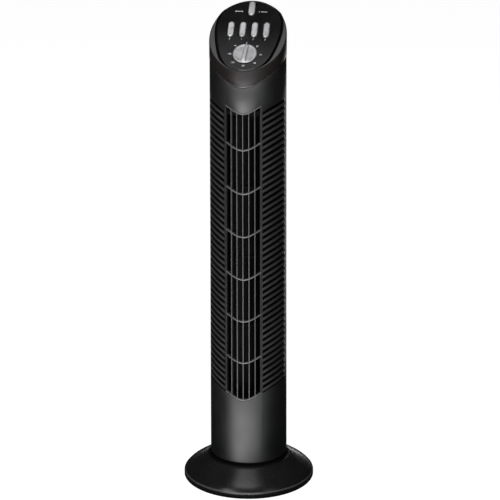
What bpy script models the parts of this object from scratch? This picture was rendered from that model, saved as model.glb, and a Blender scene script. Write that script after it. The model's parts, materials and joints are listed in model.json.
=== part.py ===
"""Tower fan: a slim louvred column that swings on a round base.

Metres, +Z up, the floor at Z = 0 and the front towards -Y. The column's axis is the Z axis.
Angles called phi run round the column from the front, positive towards +X.
"""

import math

import bmesh
import bpy
from mathutils import Matrix, Vector

# ---------------------------------------------------------------- driving dimensions

HEIGHT = 0.760
GAP = 0.0003
WALL = 0.0024
SHELL_GAP = 0.0008

# column: a slightly tapered tube, wider at the foot
COLUMN_R_FOOT = 0.0609
COLUMN_R_TOP = 0.0580
COLUMN_BOTTOM = 0.0426

# head: a cap with a curved seam below and an oblique face on top
HEAD_R = 0.0587
HEAD_SLOPE = math.radians(36.0)
SEAM_FRONT = 0.650
SEAM_RISE = 0.060
SEAM_SPREAD = 1.5

# outlet grille and side louvres, which rise as they run round to the sides
GRILLE_TOP = 0.6115
GRILLE_BOTTOM = 0.148
GRILLE_HALF = math.radians(28.0)
GRILLE_DEPTH = 0.005
BAR_PITCH = math.radians(9.07)
BAR_COUNT = 5
BAR_WIDTH = 0.0015
CROSS_WIDTH = 0.0024
ARC_RISE = 0.0312
ARC_SPREAD = 0.417
LOUVRE_COUNT = 46
LOUVRE_PITCH = 0.00977
LOUVRE_TOP = 0.602
LOUVRE_HEIGHT = 0.0056
LOUVRES_PER_CROSS = 7
FIRST_CROSS = 5
CROSS_COUNT = 6
LOUVRE_END = math.radians(80.0)
RAIL = math.radians(1.5)

# rear intake: upright slots in rows
INTAKE_BOTTOM = 0.172
INTAKE_TOP = 0.588
INTAKE_FROM = math.radians(110.0)
INTAKE_SLOTS = 12
INTAKE_ROWS = 5
INTAKE_BRIDGE = 0.006

# cross-flow impeller and its motor, on one upright axis behind the column's
IMPELLER_Y = 0.006
IMPELLER_R = 0.036
BLADE_DEPTH = 0.009
BLADE_COUNT = 12
BLADE_SECTIONS = 4
IMPELLER_BOTTOM = 0.1533
IMPELLER_TOP = 0.598
HUB_DISC = 0.003
DISC = 0.003
SHAFT_R = 0.004
LOWER_BULKHEAD = 0.140
UPPER_BULKHEAD = 0.606
BULKHEAD = 0.006
BULKHEAD_R = 0.0545
BULKHEAD_FRONT_R = 0.0522
MOTOR_R = 0.036
MOTOR_BOTTOM = 0.092
DUCT_WALL = 0.0015
BAFFLE_ANGLE = math.radians(98.0)
BAFFLE_INNER_R = 0.0495
BAFFLE_OUTER_R = 0.0548

# controls on the oblique face: x across, s up the slope from its front edge, h out of it
PANEL_RECESS = 0.0012
PANEL_TOP = 0.0016
GROOVE = 0.003
GROOVE_AT_ENDS = 0.25
KEY_PITCH = 0.018
KEY_S = 0.0828
KEY_LENGTH = 0.0295
KEY_WIDTH = 0.0098
KEY_TOP = 0.0044
KEY_BOTTOM = -0.0036
SWING_KEY_S = 0.1262
SWING_KEY_LENGTH = 0.0264
SWING_KEY_WIDTH = 0.0102
SLOT_CLEARANCE = 0.0004
KNOB_S = 0.0333
KNOB_R = 0.018
KNOB_BOTTOM = 0.0020
KNOB_TOP = 0.0052
KNOB_GRIP = 0.0030
TIMER_SHAFT_R = 0.003
TIMER_R = 0.020

# base: a shallow dome with a hollow post that carries the column
BASE_R = 0.1038
BASE_TOP = 0.039
BASE_RIM_BOTTOM = 0.001
POST_R = 0.013
POST_BORE_R = 0.010
POST_TOP = 0.062
PLATE_BOTTOM = 0.002
PLATE_THICK = 0.0025
FOOT_R = 0.009
FOOT_RING = 0.082
FOOT_HEIGHT = 0.0017
CORD_HOLE_Z = 0.0034
CORD_HOLE_R = 0.0033

# oscillation drive: a fixed gear sector on the base and a pinion under the column
GEAR_MODULE = 0.001
SECTOR_TEETH = 60
PINION_TEETH = 15
SECTOR_HALF = math.radians(54.0)
GEAR_CENTRES = 0.0378
GEAR_BOTTOM = BASE_TOP + GAP
GEAR_TOP = 0.0443
TURNTABLE = 0.047
TURNTABLE_THICK = 0.003

SCREW_R = 0.0015
SCREW_HOLE_R = 0.0018
SCREW_HEAD_R = 0.003

ROUND = 40
SMALL_ROUND = 24
LOUVRE_FACETS = 3

# ---------------------------------------------------------------- scene and materials


def clear_scene():
    for obj in list(bpy.data.objects):
        bpy.data.objects.remove(obj, do_unlink=True)


def new_collection(name):
    collection = bpy.data.collections.new(name)
    bpy.context.scene.collection.children.link(collection)
    return collection


def plastic(name, colour, roughness, metallic=0.0):
    mat = bpy.data.materials.new(name)
    mat.use_nodes = True
    shader = mat.node_tree.nodes["Principled BSDF"]
    shader.inputs["Base Color"].default_value = (*colour, 1.0)
    shader.inputs["Roughness"].default_value = roughness
    shader.inputs["Metallic"].default_value = metallic
    mat.diffuse_color = (*colour, 1.0)
    return mat


clear_scene()
PARTS = new_collection("tower_fan")
CUTTERS = new_collection("cutters")
BLACK = plastic("black_abs", (0.020, 0.021, 0.023), 0.38)
PANEL = plastic("panel_black", (0.024, 0.024, 0.026), 0.32)
SILVER = plastic("silver_grey_abs", (0.47, 0.47, 0.48), 0.42, 0.3)
IMPELLER = plastic("impeller_plastic", (0.035, 0.036, 0.038), 0.5)
NYLON = plastic("white_nylon", (0.72, 0.71, 0.66), 0.5)
STEEL = plastic("zinc_steel", (0.52, 0.53, 0.54), 0.35, 1.0)
LAMINATION = plastic("electrical_steel", (0.25, 0.25, 0.26), 0.5, 1.0)
RUBBER = plastic("black_rubber", (0.03, 0.03, 0.03), 0.85)
CABLE = plastic("cable_sleeve", (0.04, 0.04, 0.045), 0.55)
PHENOLIC = plastic("phenolic", (0.30, 0.21, 0.13), 0.6)

# ---------------------------------------------------------------- shape rules


def column_radius(z):
    return COLUMN_R_FOOT + (COLUMN_R_TOP - COLUMN_R_FOOT) * z / HEIGHT


def rise(phi):
    """How far a louvre or a cross rib has risen at this angle from the front."""
    return ARC_RISE * phi * phi / (phi * phi + ARC_SPREAD)


def seam_height(phi):
    """Height of the joint between the column and the head cap."""
    phi = (phi + math.pi) % (2.0 * math.pi) - math.pi
    return SEAM_FRONT + SEAM_RISE * phi * phi / (phi * phi + SEAM_SPREAD)


def face_height(y):
    """Height of the head's oblique face."""
    return HEIGHT - (HEAD_R - y) * math.tan(HEAD_SLOPE)


FACE_FRONT = Vector((0.0, -HEAD_R, HEIGHT - 2.0 * HEAD_R * math.tan(HEAD_SLOPE)))
FACE_UP = Vector((0.0, math.cos(HEAD_SLOPE), math.sin(HEAD_SLOPE)))
FACE_OUT = Vector((0.0, -math.sin(HEAD_SLOPE), math.cos(HEAD_SLOPE)))


def on_face(x=0.0, s=0.0, h=0.0):
    """Matrix that takes a local X, Y, Z to across, up the slope and out of the oblique face."""
    origin = FACE_FRONT + Vector((x, 0.0, 0.0)) + FACE_UP * s + FACE_OUT * h
    axes = Matrix((Vector((1.0, 0.0, 0.0)), FACE_UP, FACE_OUT)).transposed()
    return Matrix.Translation(origin) @ axes.to_4x4()


def at(x=0.0, y=0.0, z=0.0):
    return Matrix.Translation((x, y, z))


def radial(phi, radius, z):
    """Matrix at a point on the column whose local Z points outwards."""
    place = Matrix.Translation((radius * math.sin(phi), -radius * math.cos(phi), z))
    turn = Matrix.Rotation(phi, 4, "Z") @ Matrix.Rotation(math.radians(90.0), 4, "X")
    return place @ turn


def polar(radius, angle):
    return (radius * math.cos(angle), radius * math.sin(angle))


def spread(start, end, count):
    """count + 1 even values from start to end."""
    return [start + (end - start) * k / count for k in range(count + 1)]


# ---------------------------------------------------------------- making objects


def add_object(name, data, mat, matrix, collection=None):
    obj = bpy.data.objects.new(name, data)
    obj.matrix_world = matrix
    if mat:
        data.materials.append(mat)
    (collection or PARTS).objects.link(obj)
    return obj


def add_mesh(name, bm, mat, matrix=None, collection=None, smooth=True):
    mesh = bpy.data.meshes.new(name)
    bm.to_mesh(mesh)
    bm.free()
    if smooth:
        mesh.shade_smooth()
        mesh.set_sharp_from_angle(angle=math.radians(30.0))
    return add_object(name, mesh, mat, matrix or Matrix(), collection)


def turned(name, profile, mat, matrix=None, steps=ROUND, collection=None):
    """A profile of (radius, height) points turned about local Z. Ends on the axis close it."""
    area = 0.0
    for (r0, z0), (r1, z1) in zip(profile, profile[1:] + profile[:1]):
        area += r0 * z1 - r1 * z0
    points = profile if area < 0.0 else profile[::-1]
    on_axis = min(r for r, z in points) == 0.0
    bm = bmesh.new()
    verts = [bm.verts.new((r, 0.0, z)) for r, z in points]
    if on_axis:
        first = next(k for k in range(len(verts)) if points[k][0] == points[k - 1][0] == 0.0)
        verts = verts[first:] + verts[:first]
    for a, b in zip(verts, verts[1:]):
        bm.edges.new((a, b))
    if not on_axis:
        bm.edges.new((verts[-1], verts[0]))
    obj = add_mesh(name, bm, mat, matrix, collection, smooth=False)
    screw = obj.modifiers.new("Turn", "SCREW")
    screw.axis = "Z"
    screw.steps = steps
    screw.render_steps = steps
    screw.use_merge_vertices = True
    screw.merge_threshold = 0.00001
    screw.use_smooth_shade = False
    return obj


def ring(name, inner, outer, bottom, top, mat, matrix=None, steps=ROUND, collection=None):
    profile = [(inner, top), (outer, top), (outer, bottom), (inner, bottom)]
    return turned(name, profile, mat, matrix, steps, collection)


def rod(name, radius, bottom, top, mat, matrix=None, steps=24, collection=None):
    bm = bmesh.new()
    middle = Matrix.Translation((0.0, 0.0, (bottom + top) / 2.0))
    bmesh.ops.create_cone(
        bm, cap_ends=True, segments=steps, radius1=radius, radius2=radius, depth=top - bottom, matrix=middle
    )
    return add_mesh(name, bm, mat, matrix, collection)


def block(name, size, mat, matrix=None, bevel=0.0, collection=None):
    bm = bmesh.new()
    bmesh.ops.create_cube(bm, size=1.0, matrix=Matrix.Diagonal((*size, 1.0)))
    obj = add_mesh(name, bm, mat, matrix, collection)
    if bevel:
        rounded = obj.modifiers.new("Edges", "BEVEL")
        rounded.width = bevel
        rounded.segments = 1
    return obj


def plate(name, outlines, bottom, top, mat, matrix=None, collection=None):
    """A flat plate between two heights. The first outline is its edge, the others are holes."""
    curve = bpy.data.curves.new(name, "CURVE")
    curve.dimensions = "2D"
    curve.fill_mode = "BOTH"
    curve.extrude = (top - bottom) / 2.0
    for outline in outlines:
        spline = curve.splines.new("POLY")
        spline.points.add(len(outline) - 1)
        spline.use_cyclic_u = True
        for point, (x, y) in zip(spline.points, outline):
            point.co = (x, y, 0.0, 1.0)
    middle = Matrix.Translation((0.0, 0.0, (bottom + top) / 2.0))
    return add_object(name, curve, mat, (matrix or Matrix()) @ middle, collection)


def as_mesh(obj):
    """Swaps a curve object for a welded mesh object, so that it can be cut or can cut."""
    bpy.context.view_layer.update()
    graph = bpy.context.evaluated_depsgraph_get()
    mesh = bpy.data.meshes.new_from_object(obj.evaluated_get(graph))
    bm = bmesh.new()
    bm.from_mesh(mesh)
    bmesh.ops.remove_doubles(bm, verts=bm.verts, dist=0.000001)
    bmesh.ops.recalc_face_normals(bm, faces=bm.faces)
    bm.to_mesh(mesh)
    bm.free()
    name = obj.name
    collection = obj.users_collection[0]
    matrix = obj.matrix_world.copy()
    bpy.data.objects.remove(obj, do_unlink=True)
    made = bpy.data.objects.new(name, mesh)
    made.matrix_world = matrix
    collection.objects.link(made)
    return made


def tube(name, points, radius, mat, matrix=None):
    """A round wire through the points, smoothed with a Catmull-Rom curve."""
    path = smooth_path([Vector(p) for p in points], 2, closed=False)
    curve = bpy.data.curves.new(name, "CURVE")
    curve.dimensions = "3D"
    curve.bevel_depth = radius
    curve.bevel_resolution = 2
    curve.use_fill_caps = True
    spline = curve.splines.new("POLY")
    spline.points.add(len(path) - 1)
    for point, co in zip(spline.points, path):
        point.co = (*co, 1.0)
    return add_object(name, curve, mat, matrix or Matrix())


def smooth_path(points, pieces, closed):
    """Catmull-Rom points through the given ones."""
    count = len(points)
    path = []
    for k in range(count if closed else count - 1):
        before = points[k - 1] if closed or k > 0 else points[0]
        start = points[k]
        end = points[(k + 1) % count]
        after = points[(k + 2) % count] if closed or k + 2 < count else points[-1]
        for step in range(pieces):
            t = step / pieces
            bend = (end - before) * t + (before * 2.0 - start * 5.0 + end * 4.0 - after) * t * t
            bend += (start * 3.0 - before - end * 3.0 + after) * t * t * t
            path.append(start + bend * 0.5)
    if not closed:
        path.append(points[-1])
    return path


def wall(name, angles, rows, is_open, thickness, mat, radius=column_radius, centre_y=0.0, closed=False):
    """A shell round an upright axis: angles across, rows upwards as heights or functions of angle."""
    bm = bmesh.new()
    grid = []
    for row in rows:
        line = []
        for phi in angles:
            z = row(phi) if callable(row) else row
            r = radius(z) if callable(radius) else radius
            line.append(bm.verts.new((r * math.sin(phi), centre_y - r * math.cos(phi), z)))
        grid.append(line)
    columns = len(angles) if closed else len(angles) - 1
    for k in range(len(rows) - 1):
        for i in range(columns):
            if is_open(i, k):
                continue
            j = (i + 1) % len(angles)
            bm.faces.new((grid[k][i], grid[k][j], grid[k + 1][j], grid[k + 1][i]))
    loose = [v for v in bm.verts if not v.link_faces]
    bmesh.ops.delete(bm, geom=loose, context="VERTS")
    obj = add_mesh(name, bm, mat)
    solidify(obj, thickness)
    return obj


def solidify(obj, thickness, offset=-1.0):
    shell = obj.modifiers.new("Wall", "SOLIDIFY")
    shell.thickness = thickness
    shell.offset = offset
    shell.use_even_offset = True
    shell.use_quality_normals = True


def ribbon(name, line, bottom, top, thickness, mat):
    """An upright wall that follows a line in plan."""
    bm = bmesh.new()
    low = [bm.verts.new((x, y, bottom)) for x, y in line]
    high = [bm.verts.new((x, y, top)) for x, y in line]
    for k in range(len(line) - 1):
        bm.faces.new((low[k], low[k + 1], high[k + 1], high[k]))
    obj = add_mesh(name, bm, mat)
    solidify(obj, thickness, offset=0.0)
    return obj


def stacked(name, rings, mat, matrix=None, collection=None):
    """A closed solid through rings of points with equal counts, from the lowest ring to the highest."""
    bm = bmesh.new()
    layers = [[bm.verts.new(p) for p in points] for points in rings]
    count = len(layers[0])
    for low, high in zip(layers, layers[1:]):
        for i in range(count):
            j = (i + 1) % count
            bm.faces.new((low[i], low[j], high[j], high[i]))
    bm.faces.new(layers[0][::-1])
    bm.faces.new(layers[-1])
    return add_mesh(name, bm, mat, matrix, collection)


def circle(radius, count=24, centre=(0.0, 0.0)):
    points = [polar(radius, 2.0 * math.pi * k / count) for k in range(count)]
    return [(centre[0] + x, centre[1] + y) for x, y in points]


def capsule(length, width, centre=(0.0, 0.0), inset=0.0, turns=6):
    """A slot outline with round ends, longer along Y."""
    radius = width / 2.0 - inset
    straight = (length - width) / 2.0
    points = []
    for k in range(turns + 1):
        x, y = polar(radius, math.pi * k / turns)
        points.append((centre[0] + x, centre[1] + y + straight))
    for k in range(turns + 1):
        x, y = polar(radius, math.pi + math.pi * k / turns)
        points.append((centre[0] + x, centre[1] + y - straight))
    return points


def modify(obj, operation, other):
    other.hide_render = True
    other.display_type = "WIRE"
    boolean = obj.modifiers.new(operation.title(), "BOOLEAN")
    boolean.operation = operation
    boolean.solver = "EXACT"
    boolean.object = other


def cut(obj, *cutters):
    for cutter in cutters:
        modify(obj, "DIFFERENCE", cutter)


def pivot(name, matrix, parent=None):
    """An empty on a joint's axis, which carries what that joint moves."""
    empty = bpy.data.objects.new(name, None)
    empty.empty_display_size = 0.02
    PARTS.objects.link(empty)
    empty.matrix_world = matrix
    if parent:
        carry(parent, empty)
    return empty


def carry(parent, *children):
    bpy.context.view_layer.update()
    for child in children:
        child.parent = parent
        child.matrix_parent_inverse = parent.matrix_world.inverted()
    bpy.context.view_layer.update()


# ---------------------------------------------------------------- column shells


def louvre_rows():
    rows = []
    for k in reversed(range(LOUVRE_COUNT)):
        middle = LOUVRE_TOP - k * LOUVRE_PITCH
        rows.append(middle - LOUVRE_HEIGHT / 2.0)
        rows.append(middle + LOUVRE_HEIGHT / 2.0)
    return rows


def rising(z):
    """A row that starts at this height at the front and rises to the sides."""
    return lambda phi: z + rise(phi)


def front_housing():
    edge = math.pi / 2.0 - SHELL_GAP / 2.0 / COLUMN_R_TOP
    inner = GRILLE_HALF + GAP / 2.0 / COLUMN_R_TOP
    side = [inner] + spread(inner + RAIL, LOUVRE_END, LOUVRE_FACETS) + [edge]
    middle = spread(-inner, inner, 8)[1:-1]
    angles = [-phi for phi in reversed(side)] + middle + side
    levels = [GRILLE_BOTTOM] + louvre_rows() + [GRILLE_TOP]
    rows = [COLUMN_BOTTOM] + [rising(z) for z in levels]
    rows.append(lambda phi: seam_height(phi) - GAP / 2.0)
    grille = range(len(side) - 1, len(side) + len(middle))
    slots = set(range(1, LOUVRE_FACETS + 1))
    slots |= {len(angles) - 2 - i for i in slots}

    def is_open(i, k):
        if not 1 <= k < len(rows) - 2:
            return False
        return i in grille or (i in slots and k % 2 == 1)

    return wall("front_housing", angles, rows, is_open, WALL, BLACK)


def front_grille():
    edge = GRILLE_HALF - GAP / 2.0 / COLUMN_R_TOP
    half = BAR_WIDTH / 2.0 / COLUMN_R_TOP
    angles = [-edge, -edge + 2.0 * half]
    for k in range(BAR_COUNT):
        middle = BAR_PITCH * (k - (BAR_COUNT - 1) / 2.0)
        angles += [middle - half, middle + half]
    angles += [edge - 2.0 * half, edge]
    levels = [GRILLE_BOTTOM + GAP, GRILLE_BOTTOM + GAP + CROSS_WIDTH]
    for k in reversed(range(CROSS_COUNT)):
        middle = LOUVRE_TOP - (FIRST_CROSS + k * LOUVRES_PER_CROSS) * LOUVRE_PITCH
        levels += [middle - CROSS_WIDTH / 2.0, middle + CROSS_WIDTH / 2.0]
    levels += [GRILLE_TOP - GAP - CROSS_WIDTH, GRILLE_TOP - GAP]
    rows = [rising(z) for z in levels]
    return wall("front_grille", angles, rows, lambda i, k: i % 2 == 1 and k % 2 == 1, GRILLE_DEPTH, BLACK)


def rear_housing():
    edge = math.pi / 2.0 + SHELL_GAP / 2.0 / COLUMN_R_TOP
    pitch = 2.0 * (math.pi - INTAKE_FROM) / INTAKE_SLOTS
    angles = [edge, (edge + INTAKE_FROM) / 2.0, INTAKE_FROM]
    for k in range(INTAKE_SLOTS):
        start = INTAKE_FROM + k * pitch
        angles += [start + pitch * 0.22, start + pitch * 0.78]
    angles += [2.0 * math.pi - phi for phi in (INTAKE_FROM, (edge + INTAKE_FROM) / 2.0, edge)]
    span = (INTAKE_TOP - INTAKE_BOTTOM + INTAKE_BRIDGE) / INTAKE_ROWS
    rows = [COLUMN_BOTTOM]
    for k in range(INTAKE_ROWS):
        start = INTAKE_BOTTOM + k * span
        rows += [start, start + span - INTAKE_BRIDGE]
    rows.append(lambda phi: seam_height(phi) - GAP / 2.0)
    slots = range(3, len(angles) - 4)

    def is_open(i, k):
        return i in slots and i % 2 == 1 and k % 2 == 1

    return wall("rear_housing", angles, rows, is_open, WALL, BLACK)


# ---------------------------------------------------------------- head


def groove_share(s):
    """The groove round the panel narrows towards its two ends."""
    full = min(1.0, max(0.0, (s - 0.006) / 0.024), max(0.0, (0.136 - s) / 0.018))
    return GROOVE_AT_ENDS + (1.0 - GROOVE_AT_ENDS) * full


def panel_outline(grow=0.0):
    """Tongue-shaped edge of the control panel: narrow at the front, wide at the back."""
    half = [
        (0.0, 0.0018),
        (0.0140, 0.0044),
        (0.0255, 0.0113),
        (0.0335, 0.0218),
        (0.0390, 0.0348),
        (0.0435, 0.0508),
        (0.0470, 0.0688),
        (0.0485, 0.0868),
        (0.0474, 0.1018),
        (0.0434, 0.1158),
        (0.0360, 0.1264),
        (0.0250, 0.1348),
        (0.0130, 0.1400),
        (0.0, 0.1416),
    ]
    points = half + [(-x, s) for x, s in reversed(half[1:-1])]
    path = smooth_path([Vector((x, s)) for x, s in points], 2, closed=True)
    grown = []
    for k, point in enumerate(path):
        along = (path[(k + 1) % len(path)] - path[k - 1]).normalized()
        grown.append(point + Vector((along.y, -along.x)) * grow * groove_share(point.y))
    return [(p.x, p.y) for p in grown]


def key_places():
    """(name, x, s, length, width) of each key on the panel."""
    names = ("key_off", "key_low", "key_medium", "key_high")
    keys = [(n, KEY_PITCH * (k - 1.5), KEY_S, KEY_LENGTH, KEY_WIDTH) for k, n in enumerate(names)]
    return keys + [("key_oscillation", 0.0, SWING_KEY_S, SWING_KEY_LENGTH, SWING_KEY_WIDTH)]


def control_holes():
    holes = []
    for _, x, s, length, width in key_places():
        grown = 2.0 * SLOT_CLEARANCE
        holes.append(capsule(length + grown, width + grown, (x, s)))
    holes.append(circle(TIMER_SHAFT_R + 0.001, 16, (0.0, KNOB_S)))
    return holes


def head_cap():
    count = 48
    bm = bmesh.new()
    low = []
    high = []
    for k in range(count):
        phi = 2.0 * math.pi * k / count
        x = HEAD_R * math.sin(phi)
        y = -HEAD_R * math.cos(phi)
        low.append(bm.verts.new((x, y, seam_height(phi) + GAP / 2.0)))
        high.append(bm.verts.new((x, y, face_height(y))))
    for i in range(count):
        j = (i + 1) % count
        bm.faces.new((low[i], low[j], high[j], high[i]))
    bm.faces.new(high)
    cap = add_mesh("head_cap", bm, BLACK)
    solidify(cap, WALL)
    recess = plate("recess_cutter", [panel_outline(GROOVE)], -PANEL_RECESS, 0.01, None, on_face(), CUTTERS)
    cut(cap, as_mesh(recess))
    for number, outline in enumerate(control_holes()):
        hole = plate("hole_cutter_%d" % number, [outline], -0.01, 0.01, None, on_face(), CUTTERS)
        cut(cap, as_mesh(hole))
    return cap


def control_panel():
    outlines = [panel_outline()] + control_holes()
    return plate("control_panel", outlines, GAP - PANEL_RECESS, PANEL_TOP, PANEL, on_face())


def key(name, x, s, length, width):
    """A push key with round ends and a softened top edge."""
    soft = ((KEY_BOTTOM, 0.0), (KEY_TOP - 0.0012, 0.0), (KEY_TOP - 0.0004, 0.0005), (KEY_TOP, 0.0015))
    rings = []
    for height, inset in soft:
        rings.append([(px, py, height) for px, py in capsule(length, width, inset=inset)])
    return stacked(name, rings, SILVER, on_face(x, s))


def timer_knob():
    profile = [
        (0.0, KNOB_TOP),
        (KNOB_R - 0.0016, KNOB_TOP),
        (KNOB_R, KNOB_TOP - 0.0012),
        (KNOB_R, KNOB_BOTTOM),
        (TIMER_SHAFT_R + GAP, KNOB_BOTTOM),
        (TIMER_SHAFT_R + GAP, KNOB_TOP - 0.0014),
        (0.0, KNOB_TOP - 0.0014),
    ]
    knob = turned("timer_knob", profile, SILVER, on_face(0.0, KNOB_S), 32)
    rings = []
    grip_top = KNOB_TOP + KNOB_GRIP
    for height, inset in ((KNOB_TOP - 0.0008, 0.0), (grip_top - 0.0008, 0.0004), (grip_top, 0.0012)):
        outline = capsule(2.0 * KNOB_R - 0.003, 0.0056, inset=inset)
        rings.append([(px, py, height) for px, py in outline])
    grip = stacked("grip_shape", rings, None, on_face(0.0, KNOB_S), CUTTERS)
    modify(knob, "UNION", grip)
    return knob


def timer():
    place = on_face(0.0, KNOB_S)
    shaft = rod("timer_shaft", TIMER_SHAFT_R, -0.014, KNOB_TOP - 0.0018, STEEL, place, 16)
    bore = TIMER_SHAFT_R + GAP
    profile = [
        (bore, -0.0042),
        (0.0055, -0.0042),
        (0.0055, -0.0072),
        (TIMER_R, -0.0072),
        (TIMER_R, -0.0300),
        (0.0, -0.0300),
        (0.0, -0.0150),
        (bore, -0.0150),
    ]
    body = turned("timer_body", profile, PHENOLIC, place, SMALL_ROUND)
    return shaft, body


def switches():
    keys = block("speed_switch", (0.074, 0.024, 0.020), PHENOLIC, on_face(0.0, KEY_S, -0.0172), 0.0008)
    under_key = on_face(0.0, SWING_KEY_S - 0.006, -0.0114)
    swing = block("oscillation_switch", (0.016, 0.015, 0.008), PHENOLIC, under_key)
    return keys, swing


# ---------------------------------------------------------------- impeller, motor and duct


def impeller():
    centre = at(0.0, IMPELLER_Y, 0.0)
    pitch = 2.0 * math.pi / BLADE_COUNT
    angles = []
    for k in range(BLADE_COUNT):
        angles += [k * pitch, k * pitch + 0.14 * pitch]
    section = (IMPELLER_TOP - IMPELLER_BOTTOM + DISC) / BLADE_SECTIONS
    rows = []
    for k in range(BLADE_SECTIONS):
        start = IMPELLER_BOTTOM + k * section
        rows += [start - DISC, start] if k else [start, start + DISC]
    rows += [IMPELLER_TOP - DISC, IMPELLER_TOP]
    cage = wall(
        "impeller_cage",
        angles,
        rows,
        lambda i, k: i % 2 == 1 and k % 2 == 1,
        BLADE_DEPTH,
        IMPELLER,
        radius=IMPELLER_R,
        centre_y=IMPELLER_Y,
        closed=True,
    )
    bore = SHAFT_R + GAP
    low = IMPELLER_BOTTOM - GAP
    lower = [
        (bore, low),
        (IMPELLER_R, low),
        (IMPELLER_R, low - HUB_DISC),
        (0.010, low - HUB_DISC),
        (0.010, low - HUB_DISC - 0.002),
        (bore, low - HUB_DISC - 0.002),
    ]
    high = IMPELLER_TOP + GAP
    upper = [
        (0.0, 0.617),
        (0.003, 0.617),
        (0.003, high + HUB_DISC),
        (IMPELLER_R, high + HUB_DISC),
        (IMPELLER_R, high),
        (0.0, high),
    ]
    hub = turned("impeller_lower_hub", lower, IMPELLER, centre, SMALL_ROUND)
    end = turned("impeller_upper_hub", upper, IMPELLER, centre, SMALL_ROUND)
    rotor = [
        (0.0, 0.158),
        (SHAFT_R, 0.158),
        (SHAFT_R, 0.127),
        (0.021, 0.127),
        (0.021, 0.101),
        (SHAFT_R, 0.101),
        (SHAFT_R, 0.097),
        (0.0, 0.097),
    ]
    core = turned("motor_rotor", rotor, LAMINATION, centre, SMALL_ROUND)
    return cage, hub, end, core


def motor():
    centre = at(0.0, IMPELLER_Y, 0.0)
    top = LOWER_BULKHEAD - GAP
    skin = 0.0015
    bore = SHAFT_R + 0.001
    can = [
        (bore, top),
        (MOTOR_R + 0.008, top),
        (MOTOR_R + 0.008, top - 0.0025),
        (MOTOR_R, top - 0.0025),
        (MOTOR_R, MOTOR_BOTTOM),
        (0.0, MOTOR_BOTTOM),
        (0.0, MOTOR_BOTTOM + skin),
        (MOTOR_R - skin, MOTOR_BOTTOM + skin),
        (MOTOR_R - skin, top - skin),
        (bore, top - skin),
    ]
    housing = turned("motor_housing", can, STEEL, centre, 32)
    stator = ring("motor_stator", 0.0215, MOTOR_R - skin - GAP, 0.099, 0.130, LAMINATION, centre, 32)
    capacitor = block("motor_capacitor", (0.014, 0.034, 0.022), PHENOLIC, at(-0.034, 0.0, 0.0613), 0.001)
    return housing, stator, capacitor


def bulkheads():
    """Round shelves that hold the motor below the impeller and its bearing above it."""
    lower_hole = circle(0.011, 16, (0.0, IMPELLER_Y))
    upper_hole = circle(0.0078, 20, (0.0, IMPELLER_Y))
    loom_hole = circle(0.0034, 8, LOOM_PLACE)
    edge = []
    for x, y in circle(1.0, ROUND):
        radius = BULKHEAD_FRONT_R if y < -math.cos(math.radians(40.0)) else BULKHEAD_R
        edge.append((x * radius, y * radius))
    lower = plate(
        "lower_bulkhead", [edge, lower_hole, loom_hole], LOWER_BULKHEAD, LOWER_BULKHEAD + BULKHEAD, BLACK
    )
    upper = plate(
        "upper_bulkhead", [edge, upper_hole, loom_hole], UPPER_BULKHEAD, UPPER_BULKHEAD + BULKHEAD, BLACK
    )
    low = UPPER_BULKHEAD - 0.001
    bearing = ring("upper_bearing", 0.0033, 0.0075, low, low + 0.009, NYLON, at(0.0, IMPELLER_Y, 0.0), 20)
    return as_mesh_part(lower, BLACK), as_mesh_part(upper, BLACK), bearing


def as_mesh_part(obj, mat):
    made = as_mesh(obj)
    if not made.data.materials:
        made.data.materials.append(mat)
    return made


def duct():
    """The scroll that turns the air towards the outlet, the tongue that splits it off, and the
    baffles that part the rear intake from the side louvres."""
    bottom = LOWER_BULKHEAD + BULKHEAD + GAP
    top = UPPER_BULKHEAD - GAP
    scroll = []
    for step in spread(0.0, 1.0, 12):
        angle = math.radians(60.0 - 123.0 * step)
        radius = 0.0395 + 0.0185 * step ** 1.15
        x, y = polar(radius, angle)
        scroll.append((x, IMPELLER_Y + y))
    volute = ribbon("duct_scroll", scroll, bottom, top, DUCT_WALL, BLACK)
    nose = [
        (-0.0265, -0.0455),
        (-0.0330, -0.0190),
        (-0.0345, -0.0150),
        (-0.0380, -0.0130),
        (-0.0490, -0.0160),
    ]
    tongue = ribbon("duct_tongue", nose, bottom, top, DUCT_WALL, BLACK)
    baffles = []
    for label, sign in (("left", -1.0), ("right", 1.0)):
        x, y = sign * math.sin(BAFFLE_ANGLE), -math.cos(BAFFLE_ANGLE)
        line = [(x * radius, y * radius) for radius in (BAFFLE_INNER_R, BAFFLE_OUTER_R)]
        baffles.append(ribbon("baffle_%s" % label, line, bottom, top, DUCT_WALL, BLACK))
    return volute, tongue, baffles


# ---------------------------------------------------------------- turntable and oscillation


def turntable():
    top = TURNTABLE + TURNTABLE_THICK
    hub_inner = POST_R + 0.003
    profile = [
        (hub_inner, 0.058),
        (0.020, 0.058),
        (0.020, top),
        (0.0532, top),
        (0.0532, 0.058),
        (0.0567, 0.058),
        (0.0567, 0.0416),
        (0.0510, 0.0416),
        (0.0510, TURNTABLE),
        (hub_inner, TURNTABLE),
    ]
    table = turned("turntable", profile, BLACK)
    cut(table, rod("pinion_hole", 0.0035, 0.04, 0.06, None, at(0.0, GEAR_CENTRES, 0.0), 12, CUTTERS))
    bush_outer = hub_inner - 2.0 * GAP
    bush = ring("turntable_bush", POST_R + GAP, bush_outer, TURNTABLE, 0.058, NYLON, None, SMALL_ROUND)
    return table, bush


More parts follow.
